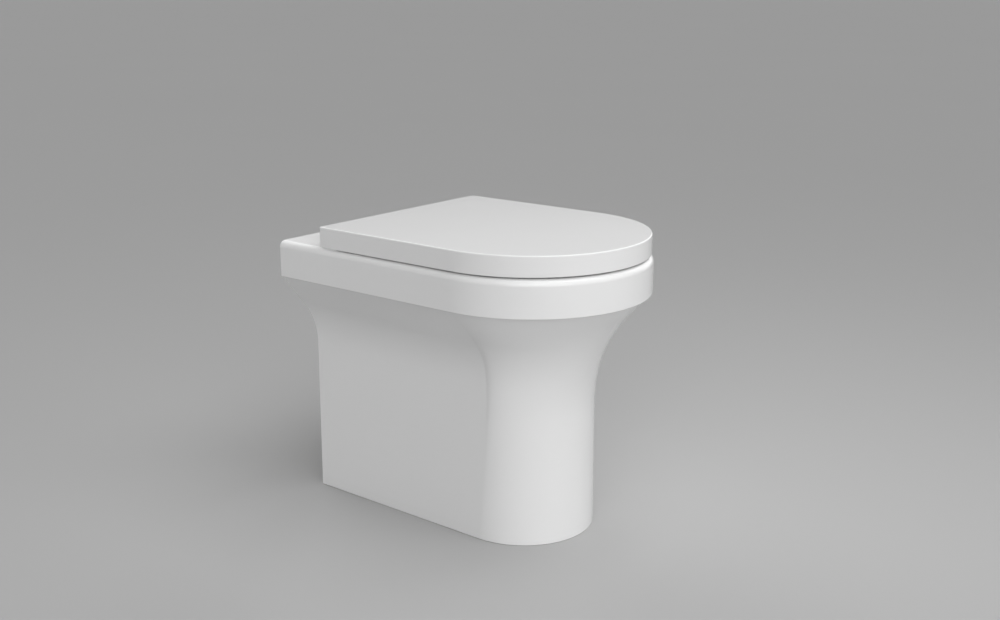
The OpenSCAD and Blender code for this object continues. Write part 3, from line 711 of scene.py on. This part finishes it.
def turned(station, turn, r):
    """The station at the end of a bend."""
    y, z, heading = station
    way, a, b = math.copysign(1, turn), math.radians(heading), math.radians(heading + turn)
    return (
        y + way * r * (math.sin(b) - math.sin(a)),
        z - way * r * (math.cos(b) - math.cos(a)),
        heading + turn,
    )


def trap_line(step=5.0):
    """Stations down the trap's middle from the bowl, moved so that the last meets the outlet."""
    stations = [(0.0, 0.0, TRAP_HEADING)]
    for leg in TRAP_LEGS:
        if len(leg) == 1:
            stations.append(ahead(stations[-1], *leg))
            continue
        turn, r = leg
        count = math.ceil(abs(turn) / step)
        for _ in range(count):
            stations.append(turned(stations[-1], turn / count, r))
    dy = WALL_Y - PORT_SETBACK - OUTLET_L - stations[-1][0]
    dz = OUTLET_Z - stations[-1][1]
    return [(y + dy, z + dz, heading) for y, z, heading in stations]


TRAP = trap_line()
TRAP_D = WALL_Y - TRAP[0][0]
SUMP_Z = TRAP[0][1]


def bowl_row(share):
    """A row of the bowl's inside: distance, height, tilt, half width, half length, squareness."""
    rise, tilt, wide, long, middle, squareness = share
    z = SUMP_Z + rise * (PLATE_UNDER - SUMP_Z)
    d = TRAP_D + middle * (BOWL_MID_D - TRAP_D)
    room = CHINA_T + BOWL_T + BOWL_GAP
    level = min(z, BAND_Z)
    hw = TRAP_R + wide * (neck_hw(level) - room - TRAP_R)
    hl = TRAP_R + long * (neck_front(level) - room - d - TRAP_R)
    return (d, z, tilt, hw, hl, squareness)


def bowl_rows():
    lip = [
        (BOWL_MID_D, PLATE_UNDER - drop, 0, BOWL_TOP_HW - draw, BOWL_TOP_HD - draw,
         BOWL_TOP_SQUARENESS)
        for drop, draw in ((0, 0), (LIP_H, LIP_DRAW))
    ]
    return lip + [bowl_row(share) for share in BOWL_SHARES]


def between(a, b, c, d, t):
    """Catmull-Rom spline between rows b and c."""
    return tuple(
        0.5 * (2 * q + (r - p) * t + (2 * p - 5 * q + 4 * r - s) * t * t
               + (3 * q - p - 3 * r + s) * t**3)
        for p, q, r, s in zip(a, b, c, d)
    )


def finer(rows, parts=5):
    """The rows with others interpolated smoothly between them; the lip stays straight."""
    made = [rows[0]]
    for i in range(1, len(rows) - 1):
        before = rows[i - 1] if i > 1 else rows[1]
        after = rows[min(i + 2, len(rows) - 1)]
        made += [between(before, rows[i], rows[i + 1], after, t / parts) for t in range(parts)]
    return made + [rows[-1]]


def bowl_ring(row, grow, shift=0.0, steps=96):
    """A ring of the bowl, larger by grow and moved square to itself by shift, down or back."""
    d, z, tilt, hw, hl, squareness = row
    a = math.radians(tilt)
    y0 = WALL_Y - d + shift * math.sin(a)
    z0 = z - shift * math.cos(a)
    ring = []
    for i in range(steps):
        q = 2 * math.pi * i / steps
        u = (hw + grow) * squared(math.cos(q), squareness)
        v = (hl + grow) * squared(math.sin(q), squareness)
        ring.append((u, y0 + v * math.cos(a), z0 + v * math.sin(a)))
    return ring


def trap_ring(station, r, steps=64):
    """A circle square to the trap's middle line."""
    y, z, heading = station
    a = math.radians(heading)
    ring = []
    for i in range(steps):
        q = 2 * math.pi * i / steps
        s = r * math.sin(q)
        ring.append((r * math.cos(q), y - s * math.sin(a), z + s * math.cos(a)))
    return ring


def trap_tube(name, r, join, index):
    """The trap as a rod that runs further by join at its two ends."""
    line = [ahead(TRAP[0], -join[0])] + TRAP[1:-1] + [ahead(TRAP[-1], join[1])]
    return loft(name, [trap_ring(station, r) for station in line], index)


def rear_wall_y(rows):
    """Where the bowl's inside is furthest back at the height of the flush inlet."""
    for (d0, z0, _, _, hl0, _), (d1, z1, _, _, hl1, _) in zip(rows, rows[1:]):
        if z0 >= INLET_Z >= z1:
            share = (z0 - INLET_Z) / (z0 - z1)
            upper, lower = WALL_Y - d0 + hl0, WALL_Y - d1 + hl1
            return upper + share * (lower - upper)


def hood_ring(y, inset, steps=72):
    ring = []
    for i in range(steps):
        q = 2 * math.pi * i / steps
        x = (HOOD_HW - inset) * squared(math.cos(q), HOOD_SQUARENESS)
        z = (HOOD_HH - inset) * squared(math.sin(q), HOOD_SQUARENESS)
        ring.append((x, y, INLET_Z + z))
    return ring


def add_flush_hood(china, rows):
    """A hood over the flush inlet in the bowl's rear wall, open to the left and right."""
    wall = rear_wall_y(rows)
    front = wall - HOOD_PROUD
    inside = front + HOOD_T
    profile = (*HOOD_NOSE, (HOOD_PROUD + HOOD_ROOT, 0.0))
    add(china, loft("hood", [hood_ring(front + depth, inset) for depth, inset in profile]))
    slot = box_solid(
        "slot",
        (-HOOD_SLOT_HW, HOOD_SLOT_HW),
        (inside, wall + HOOD_SLOT_BITE),
        (INLET_Z - HOOD_SLOT_HH, INLET_Z + HOOD_SLOT_HH),
    )
    cut(china, slot, rod("inlet", "y", HOOD_INLET_R, inside, wall + HOOD_INLET_L, (0, INLET_Z)))


def pan_waterway():
    """Bowl, flush horn and trap in one: raw outside, glazed inside."""
    rows = finer(bowl_rows())
    back, middle = WALL_Y - PORT_SETBACK, WALL_Y - BOWL_MID_D
    inlet, outlet = (0, INLET_Z), (0, OUTLET_Z)
    china = loft("pan_waterway_china", [bowl_ring(row, BOWL_T) for row in rows], RAW)
    add(
        china,
        rod("horn", "y", HORN_R, middle, back, inlet, RAW),
        trap_tube("trap", TRAP_R + BOWL_T, TRAP_JOIN, RAW),
        rod("spigot", "y", OUTLET_R, back - OUTLET_L, back, outlet, RAW),
    )
    inside = [bowl_ring(row, 0) for row in rows[1:-1]]
    inside.insert(0, bowl_ring(rows[0], 0, -PAST))
    inside.append(bowl_ring(rows[-1], 0, TRAP_BORE_JOIN[0]))
    cut(
        china,
        loft("bowl_inside", inside),
        trap_tube("trap_inside", TRAP_R, TRAP_BORE_JOIN, GLAZED),
        rod("outlet_bore", "y", OUTLET_R - BOWL_T, back - OUTLET_L + BOWL_T, back + PAST, outlet),
        rod("flushway", "y", FLUSHWAY_R, middle, back + PAST, inlet),
        rod("socket", "y", INLET_R, back - INLET_L, back + PAST, inlet),
    )
    add_flush_hood(china, rows)
    return smooth_finish(china, 38.0)


# ---- seat ----


def seat_outline(inset):
    return round_outline(SEAT_HW - inset, SEAT_BACK - inset, SEAT_CORNER - inset, 96)


def hole_outline(grow, steps=64):
    return arc(0, ARC_Y, SEAT_HOLE_R + grow, 0, -180, steps) + arc(
        0, SEAT_HOLE_BACK, SEAT_HOLE_R + grow, 180, 0, steps
    )


def ray_ring(outline, steps=240):
    """The outline sampled at equal angles about the seat's centre."""
    closed = outline + outline[:1]
    ring = []
    for i in range(steps):
        a = 2 * math.pi * i / steps
        dx, dy = math.cos(a), math.sin(a)
        best = None
        for (x0, y0), (x1, y1) in zip(closed, closed[1:]):
            ex, ey = x1 - x0, y1 - y0
            det = ex * dy - ey * dx
            if abs(det) < 1e-9:
                continue
            t = (ex * (y0 - SEAT_CENTRE_Y) - ey * x0) / det
            s = (dx * (y0 - SEAT_CENTRE_Y) - dy * x0) / det
            if t > 0 and -1e-9 <= s <= 1 + 1e-9 and (best is None or t > best):
                best = t
        ring.append((best * dx, SEAT_CENTRE_Y + best * dy))
    return ring


def dished_rings(outer, inner, top, low, spans=10):
    """The rings between two, on a top that dips smoothly from one height to the other."""
    rings = []
    for i in range(1, spans):
        t = i / spans
        z = top + (low - top) * t * t * (3 - 2 * t)
        rings.append([(a[0] + (b[0] - a[0]) * t, a[1] + (b[1] - a[1]) * t, z)
                      for a, b in zip(outer, inner)])
    return rings


def seat_blank():
    """The ring before its notches and hinge knuckles: a closed section swept round."""
    low, top = SEAT_Z
    dip = top - SEAT_DISH
    outside = [
        at_height(ray_ring(seat_outline(inset)), z)
        for inset, z in fillet_profile(low, top, SEAT_LOW_ROUND, SEAT_ROUND)
    ]
    inside = [
        at_height(ray_ring(hole_outline(grow)), z)
        for grow, z in reversed(fillet_profile(low, dip, SEAT_LOW_ROUND, SEAT_ROUND))
    ]
    rings = outside + dished_rings(outside[-1], inside[0], top, dip) + inside
    points = [point for ring in rings for point in ring]
    faces = band_faces(len(rings), len(rings[0]), closed=True)
    return mesh_object("seat_ring_moulded", points, faces)


def buffer_places():
    """Where the seat's buffers stand: two at the front and two at the back."""
    a = math.radians(BUFFER_ANGLE)
    front = (BUFFER_RING_R * math.cos(a), ARC_Y - BUFFER_RING_R * math.sin(a))
    rear = (BUFFER_RING_R, REAR_BUFFER_Y)
    return [(side * x, y) for side in SIDES for x, y in (front, rear)]


def notch_x(side):
    """The range of x that a hinge pillar takes, with its gaps."""
    return mirrored((PILLAR_X[0] - PILLAR_GAP, PILLAR_X[1] + PILLAR_GAP), side)


def barrel(x):
    return rod("barrel", "x", BARREL_R, x[0], x[1], (AXIS_Y, AXIS_Z), steps=72)


def barrel_bore(x, side):
    """Blind hole for the cartridge, over the range x on that side."""
    start, end = mirrored(x, side)
    return rod("bore", "x", CARTRIDGE_R, start, end, (AXIS_Y, AXIS_Z), steps=48)


def seat_ring():
    seat = seat_blank()
    low, top = SEAT_Z
    for side in SIDES:
        y, z = (SEAT_NOTCH_Y, SEAT_BACK + PAST), (low - PAST, top + PAST)
        cut(seat, box_solid("notch", notch_x(side), y, z))
    knuckle_y, knuckle_z = SEAT_BACK - KNUCKLE_L, AXIS_Z - BARREL_R
    profile = [(knuckle_y, knuckle_z), (AXIS_Y, knuckle_z), (AXIS_Y, top), (knuckle_y, top)]
    start, end = SEAT_BARREL_X
    for side in SIDES:
        x = mirrored(SEAT_BARREL_X, side)
        add(seat, block_along_x("knuckle", x, profile), barrel(x))
        cut(seat, barrel_bore((start + BARREL_END, end + PAST), side))
    for place in buffer_places():
        cut(seat, rod("peg_hole", "z", PEG_HOLE_R, low - PAST, low + PEG_HOLE_L, place, steps=32))
    return smooth_finish(paint(seat, seat_plastic))


# ---- lid ----


def lid_ring(inset, z):
    """A ring of the lid's outside, lower towards the back where it is near the lower edge."""
    ring = []
    for x, y in round_outline(LID_HW - inset, LID_BACK - inset, LID_CORNER - inset):
        back_share = (y - ARC_Y + LID_HW) / (LID_BACK - ARC_Y + LID_HW)
        low_share = (LID_Z[1] - z) / (LID_Z[1] - LID_Z[0])
        ring.append((x, y, z - LID_FALL * back_share * low_share))
    return ring


def lid_heel():
    """Cuts the lower back edge round about the hinge axis, so that it clears the deck."""
    behind, below = AXIS_Y + LID_HEEL_R, LID_Z[0] - 2 * PAST
    profile = [(behind, below), (AXIS_Y, below)]
    profile += arc(AXIS_Y, AXIS_Z, LID_HEEL_R, -90, -40, 16)
    profile.append((behind, AXIS_Z - LID_HEEL_R / 2))
    return block_along_x("heel", (-LID_HW - PAST, LID_HW + PAST), profile)


def lid():
    low, top = LID_Z
    behind = LID_BACK + PAST
    profile = fillet_profile(low, top, LID_LOW_ROUND, LID_ROUND)
    shell = loft("lid_shell", [lid_ring(inset, z) for inset, z in profile])
    hw = LID_HW - LID_WALL
    rows = ((low - PAST, behind), (LIP_Z, behind), (LIP_Z, LIP_Y), (LID_UNDER, LIP_Y))
    cut(shell, loft("hollow", [at_height(d_outline(hw, back), z) for z, back in rows]), lid_heel())
    for side in SIDES:
        y, z = (LIP_Y - PAST, behind), (LIP_Z - PAST, LID_UNDER)
        cut(shell, box_solid("notch", notch_x(side), y, z))
    start, end = LID_BARREL_X
    for side in SIDES:
        x = mirrored(LID_BARREL_X, side)
        y, z = (AXIS_Y - BARREL_R, AXIS_Y + BARREL_R), (AXIS_Z, LID_UNDER + BITE)
        add(shell, box_solid("rib", x, y, z), barrel(x))
        cut(shell, barrel_bore((start - PAST, end - BARREL_END), side))
    return smooth_finish(paint(shell, seat_plastic))


# ---- small hardware: the CAD forms with broken edges ----


def clean_copy(name, node_name):
    """A copy of a CAD node's mesh with welded vertices and whole flat faces."""
    obj = bpy.data.objects.new(name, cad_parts[node_name].data.copy())
    bpy.context.scene.collection.objects.link(obj)
    work = bmesh.new()
    work.from_mesh(obj.data)
    bmesh.ops.remove_doubles(work, verts=work.verts, dist=2e-6)
    bmesh.ops.dissolve_limit(
        work, angle_limit=math.radians(0.6), verts=work.verts, edges=work.edges
    )
    bmesh.ops.recalc_face_normals(work, faces=work.faces)
    work.to_mesh(obj.data)
    work.free()
    return obj


def broken_edges(name, node_name, width, slot, body="root"):
    """A copy of a CAD node whose sharp edges are rounded by width, in mm."""
    obj = paint(clean_copy(name, node_name), HARDWARE[slot])
    bevel = obj.modifiers.new("broken_edges", "BEVEL")
    bevel.width = width * MM
    bevel.segments = 3
    bevel.limit_method = "ANGLE"
    bevel.angle_limit = math.radians(40)
    bevel.use_clamp_overlap = True
    even_shading(obj, keep_sharp=False)
    return attach(obj, body, slot, node_name)


# ---- the object ----

attach(pan_rim(), "root", "glaze", "pan_rim")
attach(pan_pedestal(), "root", "glaze", "pan_pedestal")
attach(pan_waterway(), "root", "glaze", "pan_bowl", "pan_flush_inlet", "pan_trapway")
attach(seat_ring(), "seat", "seat_plastic", "seat_ring")
attach(lid(), "lid", "seat_plastic", "lid")

for side_name in ("left", "right"):
    broken_edges(f"hinge_base_plated_{side_name}", f"hinge_base_{side_name}", 0.5, "chrome")
    broken_edges(f"hinge_pillar_plated_{side_name}", f"hinge_pillar_{side_name}", 0.5, "chrome")
    broken_edges(f"hinge_pin_{side_name}", f"hinge_shaft_{side_name}", 0.3, "steel")
    broken_edges(f"latch_button_{side_name}", f"release_button_{side_name}", 0.3,
                 "button_plastic", f"button_{side_name}")
broken_edges("gaskets_rubber", "hinge_gaskets", 0.15, "fixing_rubber")
broken_edges("screws_zinc", "hinge_screws", 0.4, "steel")
broken_edges("sleeves_rubber", "expansion_sleeves", 0.3, "fixing_rubber")
broken_edges("nuts_brass", "cone_nuts", 0.3, "brass")
broken_edges("seat_buffers_soft", "seat_buffers", 0.6, "buffer_rubber", "seat")
broken_edges("lid_buffers_soft", "lid_buffers", 0.8, "buffer_rubber", "lid")
broken_edges("seat_damper_case", "seat_damper", 0.3, "damper_plastic", "seat")
broken_edges("lid_damper_case", "lid_damper", 0.3, "damper_plastic", "lid")
broken_edges("seat_bush_moulded", "seat_hinge_bush", 0.3, "bush_plastic", "seat")
broken_edges("lid_bush_moulded", "lid_hinge_bush", 0.3, "bush_plastic", "lid")

# ---- stage, light and camera, in metres ----

FLOOR_HALF = 250.0
FLOOR_DROP = 0.0002             # keeps the floor off the foot's underside
AMBIENT = 0.08
BACKDROP = (0.325, 0.325, 0.325)    # as the far floor renders, so that no horizon shows
# name, heading, height, strength, width of its disc: angles in degrees
SUNS = (
    ("side_low", 46.0, 14.0, 1.22, 60.0),
    ("front_low", 87.0, 18.0, 1.10, 88.0),
    ("right_low", 180.0, 25.0, 0.68, 54.0),
    ("back_low", 250.0, 30.0, 0.81, 52.0),
    ("side_high", 30.0, 40.0, 0.43, 40.0),
)
SOFTBOX_PLACE = Vector((0.0, -0.6, 1.7))
SOFTBOX_TARGET = Vector((0.0, -0.1, 0.4))
SOFTBOX_SIZE = 1.1
SOFTBOX_WATTS = 10.3
CAMERA_PLACE = (-1.4009, -1.1430, 0.8044)
CAMERA_DIP = 15.03              # degrees below level
CAMERA_YAW = -51.43
CAMERA_LENS = 44.14


def make_floor():
    mesh = bpy.data.meshes.new("floor")
    corners = [(x * FLOOR_HALF, y * FLOOR_HALF, 0) for x, y in ((-1, -1), (1, -1), (1, 1), (-1, 1))]
    mesh.from_pydata(corners, [], [(0, 1, 2, 3)])
    floor = bpy.data.objects.new("floor", mesh)
    bpy.context.scene.collection.objects.link(floor)
    floor.location.z = -FLOOR_DROP
    paint(floor, surface(
        "floor_grey",
        colours=((0.515, 0.515, 0.515), (0.525, 0.525, 0.525)),
        rough=(0.92, 0.98),
        cloud=0.6,
        Specular_IOR_Level=0.0,
    ))


def make_world():
    """Even ambient light; the camera and reflections see the backdrop's grey instead."""
    world = bpy.data.worlds.new("studio")
    bpy.context.scene.world = world
    world.use_nodes = True
    tree = world.node_tree
    tree.nodes.clear()
    path = tree.nodes.new("ShaderNodeLightPath")
    seen = path.outputs["Is Camera Ray"]
    for kind in ("Is Transmission Ray", "Is Glossy Ray"):
        either = node(tree, "ShaderNodeMath", operation="MAXIMUM")
        tree.links.new(seen, either.inputs[0])
        tree.links.new(path.outputs[kind], either.inputs[1])
        seen = either.outputs[0]
    light = node(tree, "ShaderNodeBackground", Color=(1, 1, 1, 1), Strength=AMBIENT)
    shown = node(tree, "ShaderNodeBackground", Color=(*BACKDROP, 1), Strength=1.0)
    mix = tree.nodes.new("ShaderNodeMixShader")
    tree.links.new(seen, mix.inputs[0])
    tree.links.new(light.outputs[0], mix.inputs[1])
    tree.links.new(shown.outputs[0], mix.inputs[2])
    out = tree.nodes.new("ShaderNodeOutputWorld")
    tree.links.new(mix.outputs[0], out.inputs[0])


def add_lamp(name, data, towards):
    """A lamp that shines from the direction towards."""
    lamp = bpy.data.objects.new(name, data)
    lamp.rotation_mode = "QUATERNION"
    lamp.rotation_quaternion = Vector(towards).to_track_quat("Z", "Y")
    bpy.context.scene.collection.objects.link(lamp)
    return lamp


def make_sun(name, heading, height, strength, width):
    """A soft sun. heading: from -X round towards -Y; height: above the floor."""
    a, e = math.radians(heading), math.radians(height)
    data = bpy.data.lights.new(name, "SUN")
    data.energy = strength
    data.angle = math.radians(width)
    add_lamp(name, data, (-math.cos(a) * math.cos(e), -math.sin(a) * math.cos(e), math.sin(e)))


def make_softbox():
    """A square lamp near the object, which lights its front more than its back."""
    data = bpy.data.lights.new("over_front", "AREA")
    data.shape = "SQUARE"
    data.size = SOFTBOX_SIZE
    data.energy = SOFTBOX_WATTS
    lamp = add_lamp("over_front", data, SOFTBOX_PLACE - SOFTBOX_TARGET)
    lamp.location = SOFTBOX_PLACE
    lamp.visible_camera = False


def make_camera():
    data = bpy.data.cameras.new("camera")
    data.sensor_fit = "HORIZONTAL"
    data.sensor_width = 36.0
    data.lens = CAMERA_LENS
    data.clip_end = 300.0
    camera = bpy.data.objects.new("camera", data)
    camera.location = CAMERA_PLACE
    camera.rotation_euler = (math.radians(90 - CAMERA_DIP), 0.0, math.radians(CAMERA_YAW))
    bpy.context.scene.collection.objects.link(camera)
    bpy.context.scene.camera = camera


make_floor()
make_world()
for sun in SUNS:
    make_sun(*sun)
make_softbox()
make_camera()
bpy.context.scene.view_settings.view_transform = "Standard"

bpy.context.view_layer.update()
